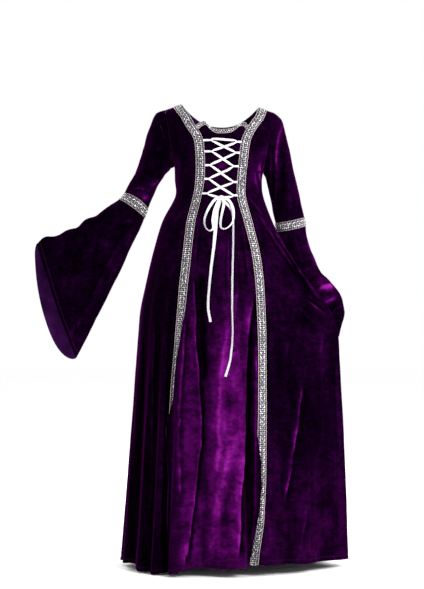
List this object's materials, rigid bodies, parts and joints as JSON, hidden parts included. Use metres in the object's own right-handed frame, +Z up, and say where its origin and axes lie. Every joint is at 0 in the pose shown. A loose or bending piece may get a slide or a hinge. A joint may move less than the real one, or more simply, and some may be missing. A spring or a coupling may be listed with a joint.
{
  "type": "medieval gown",
  "caption": "Hollow worn velvet gown: laced front panel, metallic woven trims, fitted sleeves flaring into trumpet bells, full floor-length skirt held out at one side.",
  "frame": {"origin": "on the shoulder line, midway between the two shoulder seams, where the wearer's shoulders hold the gown", "axes": "+Z up, -Y the gown's front, +X the wearer's left"},
  "size_m": [0.9442, 0.5754, 1.4067],
  "materials": {
    "velvet": "crushed velvet pile",
    "woven_trim": "metallic jacquard weave",
    "satin": "satin ribbon"
  },
  "bodies": {
    "root": {"front_panel": "velvet", "side_front_right": "velvet", "side_front_left": "velvet", "back": "velvet", "sleeve_right": "velvet", "sleeve_left": "velvet", "bell_right": "velvet", "bell_left": "velvet", "front_trim_right": "woven_trim", "front_trim_left": "woven_trim", "neck_trim": "woven_trim", "elbow_trim_right": "woven_trim", "elbow_trim_left": "woven_trim", "lace_loop_right_1": "satin", "lace_loop_right_2": "satin", "lace_loop_right_3": "satin", "lace_loop_right_4": "satin", "lace_loop_right_5": "satin", "lace_loop_left_1": "satin", "lace_loop_left_2": "satin", "lace_loop_left_3": "satin", "lace_loop_left_4": "satin", "lace_loop_left_5": "satin", "lacing": "satin", "bow_knot": "satin", "bow_loop_right": "satin", "bow_loop_left": "satin", "lace_tail_right": "satin", "lace_tail_left": "satin"}
  },
  "joints": []
}
